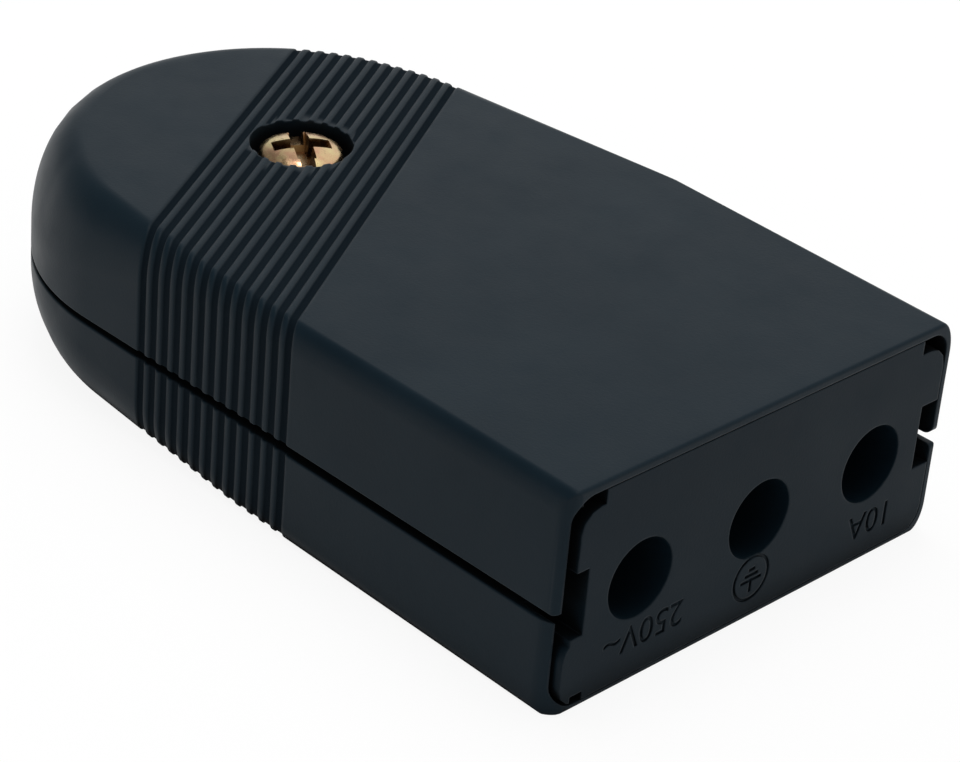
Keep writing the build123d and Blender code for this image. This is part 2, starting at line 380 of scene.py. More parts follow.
@dataclass(frozen=True)
class MouldedPlastic(Finish):
    """Satin plastic: fine grain, flow clouds, edges lightened by wear and painted highlight, painted shade in
    hollows.
    """

    name: str
    dark: Colour
    light: Colour
    # lighter edge colour: partly wear, partly painted highlight
    edge_wear_and_highlight: Colour
    # colour of the painted shade on the groove floors
    groove_shade: Colour
    roughness: Span = (0.34, 0.44)
    specular: float = 0.085
    grain_size: float = 0.16
    grain_height: float = 0.012
    grain_strength: float = 0.5
    cloud_size: float = 9.0
    cloud_spread: Span = (0.32, 0.68)
    sheen_size: float = 3.5
    edge_radius: float = 0.16
    edge_facing: Span = (0.98, 0.8)
    wear_size: float = 1.8
    wear_spread: Span = (0.45, 0.64)
    wear_range: Span = (0.1, 1.0)
    # painted shade in crevices, gaps and holes, from ambient occlusion, darkening towards the deep colour
    crevice_shade_reach: float = 3.5
    crevice_shade_range: Span = (0.62, 0.36)
    deep: Colour = (0.001, 0.0015, 0.002)

    def make(self) -> bpy.types.Material:
        """Makes the plastic.

        Returns:
            The material.
        """
        material, sheet, shader, place = self.start()
        cloud = sheet.spread(sheet.noise(place, self.cloud_size, detail=4.0), self.cloud_spread, UNIT)
        colour = sheet.tint(cloud, self.dark, self.light)
        # painted shade: grooves darkened towards their floors by the share the grip band stores
        depth = sheet.add("ShaderNodeAttribute", attribute_name=GROOVE_SHADE)
        colour = sheet.tint(depth.outputs["Fac"], colour, self.groove_shade)
        # painted shade: crevices, gaps and holes darkened by ambient occlusion
        hidden = sheet.add("ShaderNodeAmbientOcclusion", samples=8)
        hidden.inputs["Distance"].default_value = self.crevice_shade_reach * MM
        shade = sheet.spread(hidden.outputs["AO"], self.crevice_shade_range, UNIT)
        colour = sheet.tint(shade, colour, self.deep)
        dull = sheet.math("MAXIMUM", depth.outputs["Fac"], shade)
        shader.inputs["Specular IOR Level"].default_value = self.specular
        # edges lightened in noise patches: partly wear, partly painted highlight
        bevel = sheet.add("ShaderNodeBevel", samples=6)
        bevel.inputs["Radius"].default_value = self.edge_radius * MM
        flat = sheet.add("ShaderNodeNewGeometry").outputs["Normal"]
        facing = sheet.add("ShaderNodeVectorMath", operation="DOT_PRODUCT")
        sheet.link(bevel.outputs["Normal"], facing.inputs[0])
        sheet.link(flat, facing.inputs[1])
        edge = sheet.spread(facing.outputs["Value"], self.edge_facing, UNIT)
        rubs = sheet.noise(place, self.wear_size, detail=4.0)
        patches = sheet.spread(rubs, self.wear_spread, self.wear_range)
        wear_and_highlight_mask = sheet.math("MULTIPLY", edge, patches)
        sheet.link(sheet.tint(wear_and_highlight_mask, colour, self.edge_wear_and_highlight), shader.inputs["Base Color"])
        gloss = sheet.noise(place, self.sheen_size, detail=5.0, roughness=0.6)
        sheen = sheet.spread(gloss, MOST_NOISE, self.roughness)
        sheet.link(sheet.math("MAXIMUM", sheen, dull), shader.inputs["Roughness"])
        bump = sheet.add("ShaderNodeBump")
        bump.inputs["Strength"].default_value = self.grain_strength
        bump.inputs["Distance"].default_value = self.grain_height * MM
        sheet.link(sheet.noise(place, self.grain_size, detail=2.0), bump.inputs["Height"])
        sheet.link(bevel.outputs["Normal"], bump.inputs["Normal"])
        sheet.link(bump.outputs["Normal"], shader.inputs["Normal"])
        return material


@dataclass(frozen=True)
class PlatedMetal(Finish):
    """Plated or bare metal with a cloudy tint, tarnish spots, fine scratches and painted shade in its
    recesses.
    """

    name: str
    main: Colour
    cloud: Colour
    # colour of the tarnish spots and of the painted shade in recesses
    tarnish_and_shade: Colour
    roughness: Span = (0.18, 0.36)
    cloud_size: float = 1.6
    cloud_spread: Span = (0.35, 0.65)
    spot_share: float = 0.6
    spot_spread: Span = (0.56, 0.72)
    spot_range: Span = (0.0, 0.8)
    sheen_size: float = 0.5
    scratch_size: float = 0.12
    scratch_height: float = 0.006
    scratch_strength: float = 0.6
    # painted shade in recesses, from ambient occlusion, in the tarnish colour
    recess_shade_reach: float = 0.8
    recess_shade_spread: Span = (0.85, 0.45)
    recess_shade_range: Span = (0.0, 0.95)

    def make(self) -> bpy.types.Material:
        """Makes the metal.

        Returns:
            The material.
        """
        material, sheet, shader, place = self.start()
        clouds = sheet.spread(sheet.noise(place, self.cloud_size, detail=3.0), self.cloud_spread, UNIT)
        colour = sheet.tint(clouds, self.main, self.cloud)
        specks = sheet.noise(place, self.cloud_size * self.spot_share, detail=5.0, roughness=0.65)
        spots = sheet.spread(specks, self.spot_spread, self.spot_range)
        colour = sheet.tint(spots, colour, self.tarnish_and_shade)
        # painted shade: recesses darkened towards the tarnish colour by ambient occlusion
        hidden = sheet.add("ShaderNodeAmbientOcclusion", samples=8, only_local=True)
        hidden.inputs["Distance"].default_value = self.recess_shade_reach * MM
        recess_shade = sheet.spread(hidden.outputs["AO"], self.recess_shade_spread, self.recess_shade_range)
        sheet.link(sheet.tint(recess_shade, colour, self.tarnish_and_shade), shader.inputs["Base Color"])
        shader.inputs["Metallic"].default_value = 1.0
        gloss = sheet.noise(place, self.sheen_size, detail=4.0)
        sheen = sheet.spread(gloss, MOST_NOISE, self.roughness)
        sheet.link(sheen, shader.inputs["Roughness"])
        bump = sheet.add("ShaderNodeBump")
        bump.inputs["Strength"].default_value = self.scratch_strength
        bump.inputs["Distance"].default_value = self.scratch_height * MM
        sheet.link(sheet.noise(place, self.scratch_size, detail=3.0), bump.inputs["Height"])
        sheet.link(bump.outputs["Normal"], shader.inputs["Normal"])
        return material


@dataclass(frozen=True)
class EdgeRound:
    """How the rounding of one long edge grows from the face back to the nose, in millimetres."""

    at_face: float
    at_start: float
    start_x: float
    end_x: float

    def depth(self, x: float, face_x: float) -> float:
        """The rounding's depth ahead of the place where it starts to grow."""
        along = min(max((x - self.start_x) / (face_x - self.start_x), 0.0), 1.0)
        return self.at_start + (self.at_face - self.at_start) * along

    def growth(self, x: float) -> float:
        """Share of the way to the full nose rounding at one place along the body."""
        return min(max((self.start_x - x) / (self.start_x - self.end_x), 0.0), 1.0)


@dataclass(frozen=True)
class BodyForm:
    """Outer form of the moulded body, in millimetres."""

    face_x: float = 27.7
    tip_x: float = -27.7
    half_width: float = 15.6
    height: float = 14.0
    near_roof: EdgeRound = EdgeRound(at_face=0.7, at_start=0.95, start_x=-2.0, end_x=-18.0)
    far_roof: EdgeRound = EdgeRound(at_face=1.1, at_start=0.3, start_x=6.0, end_x=-16.0)
    near_foot: EdgeRound = EdgeRound(at_face=0.25, at_start=0.75, start_x=1.5, end_x=-18.0)
    far_foot: EdgeRound = EdgeRound(at_face=1.1, at_start=1.3, start_x=4.0, end_x=-16.0)
    nose_depth: float = 3.06
    nose_top: float = 6.07
    nose_bottom: float = 5.37
    cover_bottom: float = 6.4
    base_top: float = 5.8
    parting_bevel: float = 0.08
    parting_close: float = 0.17
    parting_close_from: float = 4.0
    parting_close_to: float = -24.0
    face_bevel: float = 0.2
    bevel_steps: int = 3
    corner_steps: int = 16
    edge_steps: int = 3
    flat_steps: int = 20
    least_depth: float = 0.04
    settle_rounds: int = 10

    @property
    def nose_x(self) -> float:
        """Where the straight sides end and the round nose begins."""
        return self.tip_x + self.half_width

    def swell(self, zone: Zone, side: int, x: float, inset: float) -> float:
        """Share of the full nose rounding that an edge has at one place along the body.

        Args:
            zone: The rounding, at the roof or at the floor.
            side: -1 for the near side, 1 for the far side.
            x: Place along the body.
            inset: How far the form is drawn in.

        Returns:
            A share from nearly 0 to 1.
        """
        near = side < 0
        if zone is Zone.ROOF:
            edge = self.near_roof if near else self.far_roof
        else:
            edge = self.near_foot if near else self.far_foot
        depth = edge.depth(x, self.face_x)
        first = max(depth - inset, self.least_depth) / (self.nose_depth - inset)
        return first + (1.0 - first) * edge.growth(x)

    def stencil(self, half: Half) -> list[tuple[Zone, float]]:
        """The profile of one side as zones and shares of their quarter turns.

        Args:
            half: Which part of the body.

        Returns:
            Zone and share for each profile point, from the lower end up.
        """
        turns = [step / self.corner_steps for step in range(self.corner_steps + 1)]
        edge = [step / self.edge_steps for step in range(self.edge_steps + 1)]
        roof = [(Zone.ROOF, share) for share in turns]
        floor = [(Zone.FLOOR, share) for share in turns[::-1]]
        if half is Half.UPPER:
            return [(Zone.COVER_EDGE, share) for share in edge] + roof
        if half is Half.LOWER:
            return floor + [(Zone.BASE_EDGE, share) for share in edge[::-1]]
        return floor + roof

    def spot(self, zone: Zone, share: float, side: int, x: float, inset: float,
             room: float) -> Span:
        """One point of the upright profile.

        Args:
            zone: Which rounding the point is on.
            share: Share of that rounding's quarter turn.
            side: -1 for the near side, 1 for the far side.
            x: Place along the body.
            inset: How far the form is drawn in.
            room: Distance from the cutting plane to the nose's end.

        Returns:
            Distance in from the plan outline, and height.
        """
        turn = 0.5 * math.pi * share
        if zone in (Zone.COVER_EDGE, Zone.BASE_EDGE):
            bevel = min(self.parting_bevel, 0.5 * room)
            along = (self.parting_close_from - x) / (self.parting_close_from - self.parting_close_to)
            lift = bevel * (1 - math.cos(turn)) - self.parting_close * min(max(along, 0.0), 1.0)
            height = self.cover_bottom + lift if zone is Zone.COVER_EDGE else self.base_top - lift
            return inset + bevel * (1 - math.sin(turn)), height
        full = self.nose_depth - inset
        if room < full:
            turn = share * math.acos(1 - room / full)
        swell = self.swell(zone, side, x, inset)
        inward = inset + full * swell * (1 - math.cos(turn))
        if zone is Zone.ROOF:
            return inward, self.height - inset - (self.nose_top - inset) * swell * (1 - math.sin(turn))
        return inward, inset + (self.nose_bottom - inset) * swell * (1 - math.sin(turn))

    def side_point(self, centre: float, slope: float, side: int, mark: tuple[Zone, float],
                   inset: float, room: float) -> Point:
        """One profile point where an upright plane cuts the form.

        Args:
            centre: Where the plane crosses the body's middle line.
            slope: How far the plane runs back for each step across.
            side: -1 for the near side, 1 for the far side.
            mark: Zone and share of the profile point.
            inset: How far the form is drawn in.
            room: Distance from the plane to the nose's end.

        Returns:
            The point.
        """
        y = side * self.half_width
        height = 0.0
        for _ in range(self.settle_rounds):
            inward, height = self.spot(*mark, side, centre - slope * y, inset, room)
            radius = self.half_width - inward
            y = side * radius
            if centre - slope * y < self.nose_x:
                ahead = centre - self.nose_x
                square = 1 + slope * slope
                inside = max(radius * radius * square - ahead * ahead, 0.0)
                y = (slope * ahead + side * math.sqrt(inside)) / square
        return centre - slope * y, y, height

    def ring(self, centre: float, slope: float, half: Half, inset: float = 0.0) -> list[Point]:
        """The closed loop in which an upright plane cuts the form.

        Args:
            centre: Where the plane crosses the body's middle line.
            slope: How far the plane runs back for each step across.
            half: Which part of the body.
            inset: How far the form is drawn in.

        Returns:
            Points up the near side, over the top, down the far side and back below.
        """
        ahead = (self.nose_x - centre) / math.sqrt(1 + slope * slope)
        room = self.half_width - inset - ahead
        marks = self.stencil(half)
        near = [self.side_point(centre, slope, -1, mark, inset, room) for mark in marks]
        far = [self.side_point(centre, slope, 1, mark, inset, room) for mark in marks]
        return near + self.between(near[-1], far[-1]) + far[::-1] + self.between(far[0], near[0])

    def between(self, first: Point, last: Point) -> list[Point]:
        """Points on a straight line between two points, without its ends.

        Args:
            first: Where the line starts.
            last: Where it ends.

        Returns:
            The points in order.
        """
        start = Vector(first)
        end = Vector(last)
        return [tuple(start.lerp(end, step / self.flat_steps)) for step in range(1, self.flat_steps)]


@dataclass
class GripBand:
    """The slanted band of ribs: places of its planes, and the node tree that sinks its grooves and stores
    their painted shade.
    """

    form: BodyForm
    count: int = 13
    pitch: float = 0.9
    width: float = 0.66
    depth: float = 0.11
    flank: float = 0.15
    flank_steps: int = 4
    angle: float = 31.0
    centre_x: float = -9.8
    # share of painted shade in the grooves, a little more in the two end grooves
    shade: float = 0.93
    end_shade: float = 0.05
    end_power: float = 12.0
    bed_name: str = "groove_bed"

    @property
    def slope(self) -> float:
        """How far a groove runs back for each step across."""
        return math.tan(math.radians(self.angle))

    @property
    def lean(self) -> float:
        """Cosine of the band's angle, from places along the body to places across the band."""
        return math.cos(math.radians(self.angle))

    @property
    def half_length(self) -> float:
        """Half the band's length across its grooves."""
        return (self.count - 1) / 2 * self.pitch + self.width / 2

    def planes(self) -> list[float]:
        """Where the planes of the band cross the middle line, dense at the groove flanks.

        Returns:
            Places along the body, from the nose to the face.
        """
        marks = []
        for index in range(self.count):
            middle = (index - (self.count - 1) / 2) * self.pitch
            for step in range(self.flank_steps + 1):
                reach = self.width / 2 - self.flank * step / self.flank_steps
                marks += [middle - reach, middle + reach]
            marks.append(middle)
            if index:
                marks.append(middle - self.pitch / 2)
        return [self.centre_x + mark / self.lean for mark in sorted(marks)]

    def tree(self) -> bpy.types.NodeTree:
        """Builds the node tree that lowers the surface into grooves and stores each point's share of painted
        groove shade.

        Returns:
            The tree, with its sizes as named inputs.
        """
        tree = bpy.data.node_groups.new("grip_band", "GeometryNodeTree")
        ports = tree.interface
        ports.new_socket("Geometry", in_out="INPUT", socket_type="NodeSocketGeometry")
        for name in ("Count", "Pitch", "Width", "Flank", "Angle", "Centre"):
            ports.new_socket(name, in_out="INPUT", socket_type="NodeSocketFloat")
        ports.new_socket("Finish", in_out="INPUT", socket_type="NodeSocketMaterial")
        ports.new_socket("Geometry", in_out="OUTPUT", socket_type="NodeSocketGeometry")
        sheet = NodeSheet(tree)
        given = sheet.add("NodeGroupInput").outputs
        direction = sheet.add("ShaderNodeCombineXYZ")
        turn = sheet.math("RADIANS", given["Angle"])
        sheet.link(sheet.math("COSINE", turn), direction.inputs["X"])
        sheet.link(sheet.math("SINE", turn), direction.inputs["Y"])
        across = sheet.add("ShaderNodeVectorMath", operation="DOT_PRODUCT")
        sheet.link(sheet.add("GeometryNodeInputPosition").outputs[0], across.inputs[0])
        sheet.link(direction.outputs[0], across.inputs[1])
        place = sheet.math("SUBTRACT", across.outputs["Value"], given["Centre"])
        nearest = sheet.math("ROUND", sheet.math("DIVIDE", place, given["Pitch"]))
        last = sheet.math("DIVIDE", sheet.math("SUBTRACT", given["Count"], 1.0), 2.0)
        nearest = sheet.math("MINIMUM", nearest, last)
        nearest = sheet.math("MAXIMUM", nearest, sheet.math("MULTIPLY", last, -1.0))
        away = sheet.math("SUBTRACT", place, sheet.math("MULTIPLY", nearest, given["Pitch"]))
        away = sheet.math("ABSOLUTE", away)
        edge = sheet.math("DIVIDE", given["Width"], 2.0)
        sink = sheet.add("ShaderNodeMapRange", interpolation_type="SMOOTHSTEP")
        sheet.link(away, sink.inputs["Value"])
        sheet.link(edge, sink.inputs["From Min"])
        sheet.link(sheet.math("SUBTRACT", edge, given["Flank"]), sink.inputs["From Max"])
        bed = sheet.add("GeometryNodeInputNamedAttribute", data_type="FLOAT_VECTOR")
        bed.inputs["Name"].default_value = self.bed_name
        lower = sheet.add("ShaderNodeVectorMath", operation="SCALE")
        sheet.link(bed.outputs[0], lower.inputs[0])
        sheet.link(sink.outputs["Result"], lower.inputs["Scale"])
        move = sheet.add("GeometryNodeSetPosition")
        sheet.link(given["Geometry"], move.inputs["Geometry"])
        sheet.link(lower.outputs[0], move.inputs["Offset"])
        keep = sheet.add("GeometryNodeStoreNamedAttribute", data_type="FLOAT", domain="POINT")
        keep.inputs["Name"].default_value = GROOVE_SHADE
        sheet.link(move.outputs[0], keep.inputs["Geometry"])
        # painted shade: the groove's depth share times the shade share, stronger at the two end grooves
        outer = sheet.math("ABSOLUTE", sheet.math("DIVIDE", nearest, last))
        outer = sheet.math("POWER", outer, self.end_power)
        shade = sheet.math("ADD", sheet.math("MULTIPLY", outer, self.end_shade), self.shade)
        sheet.link(sheet.math("MULTIPLY", sink.outputs["Result"], shade), keep.inputs["Value"])
        solid = sheet.add("GeometryNodeRealizeInstances")
        sheet.link(keep.outputs[0], solid.inputs[0])
        paint = sheet.add("GeometryNodeSetMaterial")
        sheet.link(solid.outputs[0], paint.inputs["Geometry"])
        sheet.link(given["Finish"], paint.inputs["Material"])
        sheet.link(paint.outputs[0], sheet.add("NodeGroupOutput").inputs[0])
        return tree

    def apply(self, piece: bpy.types.Object, material: bpy.types.Material) -> None:
        """Sinks the grooves into a piece that carries its groove bed as an attribute.

        Args:
            piece: The piece, in millimetres.
            material: The material that the tree sets.
        """
        tree = self.tree()
        step = piece.modifiers.new("grip_band", "NODES")
        step.node_group = tree
        values = {
            "Count": float(self.count),
            "Pitch": self.pitch,
            "Width": self.width,
            "Flank": self.flank,
            "Angle": self.angle,
            "Centre": self.centre_x * self.lean,
            "Finish": material,
        }
        for port in tree.interface.items_tree:
            if port.in_out == "INPUT" and port.name in values:
                step[port.identifier] = values[port.name]
        MeshShop.bake(piece)
        bpy.data.node_groups.remove(tree)


@dataclass
class CoverScrew:
    """The pan-head screw that closes the shells, with a slot and a cross in its head."""

    x: float = -10.9
    seat: float = 12.25
    head_radius: float = 2.6
    edge_height: float = 1.0
    crown: float = 0.75
    shank_radius: float = 1.45
    thread_depth: float = 0.22
    thread_pitch: float = 0.5
    thread_flank: float = 0.45
    thread_top: float = 8.0
    end: float = 0.9
    slot_width: float = 0.9
    slot_depth: float = 0.9
    slot_angle: float = -30.0
    cross_length: float = 4.0
    cross_width: float = 1.25
    cross_depth: float = 1.25
    cross_rise: float = 0.1
    cross_taper: Span = (0.6, 0.75)
    tip_bevel: float = 0.3
    rim_bevel: float = 0.08
    clear: float = 2.0
    steps: int = 96
    sharp_angle: float = 40.0

    def outline(self) -> list[Span]:
        """The turned outline of the screw.

        Returns:
            Radius and height of each point, from the tip's axis up to the crown's axis.
        """
        bevel = self.tip_bevel
        shank = self.shank_radius
        points = [(0.0, self.end), (shank - bevel, self.end), (shank, self.end + bevel)]
        z = self.end + 2 * bevel
        while z < self.thread_top:
            points += [
                (shank, z),
                (shank - self.thread_depth, z + self.thread_pitch * self.thread_flank),
                (shank, z + self.thread_pitch * 2 * self.thread_flank),
            ]
            z += self.thread_pitch
        points += [(shank, self.seat), (self.head_radius - self.rim_bevel, self.seat)]
        points.append((self.head_radius, self.seat + self.rim_bevel))
        top = self.seat + self.edge_height
        points += [(self.head_radius * out, top + self.crown * up) for out, up in MeshShop.quarter(1.0)]
        return points

    def build(self, material: bpy.types.Material) -> bpy.types.Object:
        """Builds the screw.

        Args:
            material: Its finish.

        Returns:
            The finished screw.
        """
        work = bmesh.new()
        outline = self.outline()
        rings = []
        for radius, z in outline[1:-1]:
            rings.append([work.verts.new((x, y, z)) for x, y in MeshShop.circle(radius, self.steps)])
        MeshShop.bridge(work, rings)
        foot = work.verts.new((0, 0, outline[0][1]))
        crest = work.verts.new((0, 0, outline[-1][1]))
        for k in range(self.steps):
            work.faces.new((rings[0][k], rings[0][k - 1], foot))
            work.faces.new((rings[-1][k - 1], rings[-1][k], crest))
        bmesh.ops.recalc_face_normals(work, faces=work.faces)
        work.transform(Matrix.Translation((self.x, 0, 0)))
        screw = MeshShop.from_bmesh("cover_screw_head", work)
        MeshShop.combine(screw, self.recess(), Cut.TAKE_AWAY)
        MeshShop.finish(screw, material, self.sharp_angle)
        return screw

    def recess(self) -> list[bpy.types.Object]:
        """The slot across the head and the tapered cross arms in its middle.

        Returns:
            The cutting solids.
        """
        top = self.seat + self.edge_height + self.crown
        place = Matrix.Translation((self.x, 0, 0)) @ Matrix.Rotation(math.radians(self.slot_angle), 4, "Z")
        half = self.slot_width / 2
        reach = self.head_radius * 2
        slot = MeshShop.block("slot", (-reach, -half, top - self.slot_depth), (reach, half, top + self.clear))
        slot.data.transform(place)
        tools = [slot]
        cross = self.cross_length / 2
        half = self.cross_width / 2
        low = top - self.cross_depth
        high = top + self.cross_rise
        along, across = self.cross_taper
        wide = [(-cross, -half), (cross, -half), (cross, half), (-cross, half)]
        slim = [(x * along, y * across) for x, y in wide]
        for turn in (0.0, 0.5 * math.pi):
            spin = place @ Matrix.Rotation(turn, 4, "Z")
            tools.append(MeshShop.prism("arm", wide, low, high, spin, slim))
        return tools


@dataclass
class ShellPair:
    """The two moulded shells, each a smooth outer skin joined to the inside of its solid."""

    form: BodyForm
    band: GripBand
    screw: CoverScrew
    skin: float = 0.9
    overlap: float = 0.05
    first_turn: float = 0.5 * math.pi - 0.03
    band_margin: float = 0.12
    band_slack: float = 0.01
    nose_rings: int = 46
    front_rings: int = 26
    plate_seat_x: float = 24.7
    plate_opening_near: float = 15.25
    plate_opening_far: float = 15.1
    plate_opening_low: float = 0.35
    plate_opening_high: float = 13.5
    plate_opening_round: float = 1.4
    plate_opening_steps: int = 8
    recess_radius: float = 3.2
    inlet_radius: float = 4.0
    inlet_height: float = 6.1
    inlet_end_x: float = -19.0
    nut_pocket_flat: float = 2.85
    nut_pocket_depth: float = 3.0
    cover_corner_round: float = 0.7
    base_corner_round: float = 0.3
    cover_plan_round: float = 0.9
    base_plan_round: float = 1.5
    beyond: float = 60.0
    round_steps: int = 72

    def planes(self, front_x: float, inset: float) -> list[Span]:
        """The upright planes of the loft, from the nose's end to the face.

        Args:
            front_x: Where the last plane stands.
            inset: How far the form is drawn in.

        Returns:
            Pairs of the plane's place on the middle line and its slope.
        """
        form = self.form
        slope = self.band.slope
        lean = self.band.lean
        band = self.band.planes()
        nose = form.nose_x * lean
        radius = form.half_width - inset
        last = math.asin((nose - band[0] * lean + self.band_margin) / radius)
        planes = []
        for step in range(self.nose_rings):
            turn = self.first_turn + (last - self.first_turn) * step / (self.nose_rings - 1)
            planes.append(((nose - radius * math.sin(turn)) / lean, slope))
        planes += [(x, slope) for x in band]
        first = band[-1] + self.band_margin / lean
        for step in range(self.front_rings + 1):
            share = step / self.front_rings
            planes.append((first + (front_x - first) * share, slope * (1 - share)))
        return planes

    def solid(self, name: str, half: Half, inset: float, open_front: bool) -> bpy.types.Object:
        """A closed solid of the body's form, with the groove bed kept as an attribute.

        Args:
            name: Name of the new object.
            half: Which part of the body.
            inset: How far the form is drawn in.
            open_front: Whether it runs on past the face.

        Returns:
            The solid, in millimetres.
        """
        form = self.form
        bevel = form.face_bevel
        front = form.face_x + self.beyond / 4 if open_front else form.face_x - bevel
        stations = [(x, slope, inset) for x, slope in self.planes(front, inset)]
        if not open_front:
            for step in range(1, form.bevel_steps + 1):
                turn = 0.5 * math.pi * step / form.bevel_steps
                stations.append((front + bevel * math.sin(turn), 0.0, inset + bevel * (1 - math.cos(turn))))
        work = bmesh.new()
        bed = work.verts.layers.float_vector.new(self.band.bed_name)
        rings = []
        limit = self.band.half_length + self.band_slack
        for x, slope, drawn in stations:
            points = form.ring(x, slope, half, drawn)
            ring = [work.verts.new(point) for point in points]
            if abs(slope - self.band.slope) < WELD and abs(x - self.band.centre_x) * self.band.lean <= limit:
                deep = form.ring(x, slope, half, drawn + self.band.depth)
                for corner, point, target in zip(ring, points, deep):
                    corner[bed] = Vector(target) - Vector(point)
            rings.append(ring)
        MeshShop.bridge(work, rings)
        work.faces.new(rings[0])
        work.faces.new(rings[-1][::-1])
        bmesh.ops.remove_doubles(work, verts=work.verts, dist=WELD)
        bmesh.ops.recalc_face_normals(work, faces=work.faces)
        return MeshShop.from_bmesh(name, work)

    def opening(self) -> bpy.types.Object:
        """The room for the front plate, cut into both shells from the face.

        Returns:
            The cutting solid.
        """
        near = -self.plate_opening_near
        far = self.plate_opening_far
        low = self.plate_opening_low
        high = self.plate_opening_high
        radius = self.plate_opening_round
        outline = []
        corners = ((far, low, -90), (far, high, 0), (near, high, 90), (near, low, 180))
        for y, z, turn in corners:
            middle_y = y - math.copysign(radius, y)
            middle_z = low + radius if z == low else high - radius
            for step in range(self.plate_opening_steps + 1):
                angle = math.radians(turn + 90 * step / self.plate_opening_steps)
                outline.append((middle_y + radius * math.cos(angle), middle_z + radius * math.sin(angle)))
        turn = Matrix(((0, 0, 1, 0), (1, 0, 0, 0), (0, 1, 0, 0), (0, 0, 0, 1)))
        return MeshShop.prism("opening", outline, self.plate_seat_x, self.beyond, turn)

    def inlet(self) -> bpy.types.Object:
        """The round cord inlet through the nose.

        Returns:
            The cutting solid.
        """
        turn = Matrix.Translation((0, 0, self.inlet_height)) @ Matrix.Rotation(0.5 * math.pi, 4, "Y")
        outline = MeshShop.circle(self.inlet_radius, self.round_steps)
        return MeshShop.prism("inlet", outline, -self.beyond, self.inlet_end_x, turn)

    def post(self, radius: float, low: float, high: float) -> bpy.types.Object:
        """A round post on the axis of the cover screw."""
        turn = Matrix.Translation((self.screw.x, 0, 0))
        return MeshShop.prism("post", MeshShop.circle(radius, self.round_steps), low, high, turn)

    def pocket(self) -> bpy.types.Object:
        """The six-sided nut pocket in the underside.

        Returns:
            The cutting solid.
        """
        outline = MeshShop.circle(self.nut_pocket_flat / math.cos(math.pi / 6), 6)
        turn = Matrix.Translation((self.screw.x, 0, 0))
        return MeshShop.prism("pocket", outline, -self.beyond, self.nut_pocket_depth, turn)

    def corner_round(self, half: Half) -> bpy.types.Object:
        """What a shell's rounded corner leaves out where the parting meets the face.

        Args:
            half: Which shell.

        Returns:
            The cutting solid.
        """
        upper = half is Half.UPPER
        radius = self.cover_corner_round if upper else self.base_corner_round
        inward = 1 if upper else -1
        x = self.form.face_x - radius
        z = (self.form.cover_bottom if upper else self.form.base_top) + inward * radius
        outline = [(x + out, z - inward * up) for out, up in MeshShop.quarter(radius)]
        away = z - inward * self.beyond
        outline += [(x, away), (self.beyond, away), (self.beyond, z)]
        turn = Matrix.Rotation(0.5 * math.pi, 4, "X")
        return MeshShop.prism("corner_round", outline, -self.beyond, self.beyond, turn)

    def plan_corner(self, half: Half) -> bpy.types.Object:
        """What a shell's upright near front corner leaves out, rounded in plan.

        Args:
            half: Which shell.

        Returns:
            The cutting solid.
        """
        radius = self.cover_plan_round if half is Half.UPPER else self.base_plan_round
        x = self.form.face_x - radius
        y = radius - self.form.half_width
        outline = [(x + out, y - up) for out, up in MeshShop.quarter(radius)]
        outline += [(x, -self.beyond), (self.beyond, -self.beyond), (self.beyond, y)]
        return MeshShop.prism("plan_corner", outline, -self.beyond, self.beyond)

    def build(self, node: str, half: Half, material: bpy.types.Material) -> bpy.types.Object:
        """Builds one shell.

        Args:
            node: The node that the shell stands for.
            half: Which shell.
            material: Its finish.

        Returns:
            The finished shell.
        """
        shell = self.solid(node + "_moulding", half, 0.0, False)
        self.band.apply(shell, material)
        core = self.solid("core", Half.WHOLE, self.skin, True)
        cuts = [core, self.opening(), self.inlet(), self.corner_round(half), self.plan_corner(half)]
        if half is Half.UPPER:
            cuts.append(self.post(self.recess_radius, self.screw.seat, self.beyond))
        else:
            cuts.append(self.pocket())
        MeshShop.combine(shell, cuts, Cut.TAKE_AWAY)
        inside = MeshShop.copy_of_node(node)
        wider = self.solid("wider", Half.WHOLE, self.skin - self.overlap, True)
        MeshShop.combine(inside, [wider], Cut.KEEP_COMMON)
        MeshShop.combine(shell, [inside], Cut.JOIN)
        MeshShop.finish(shell, material)
        return shell


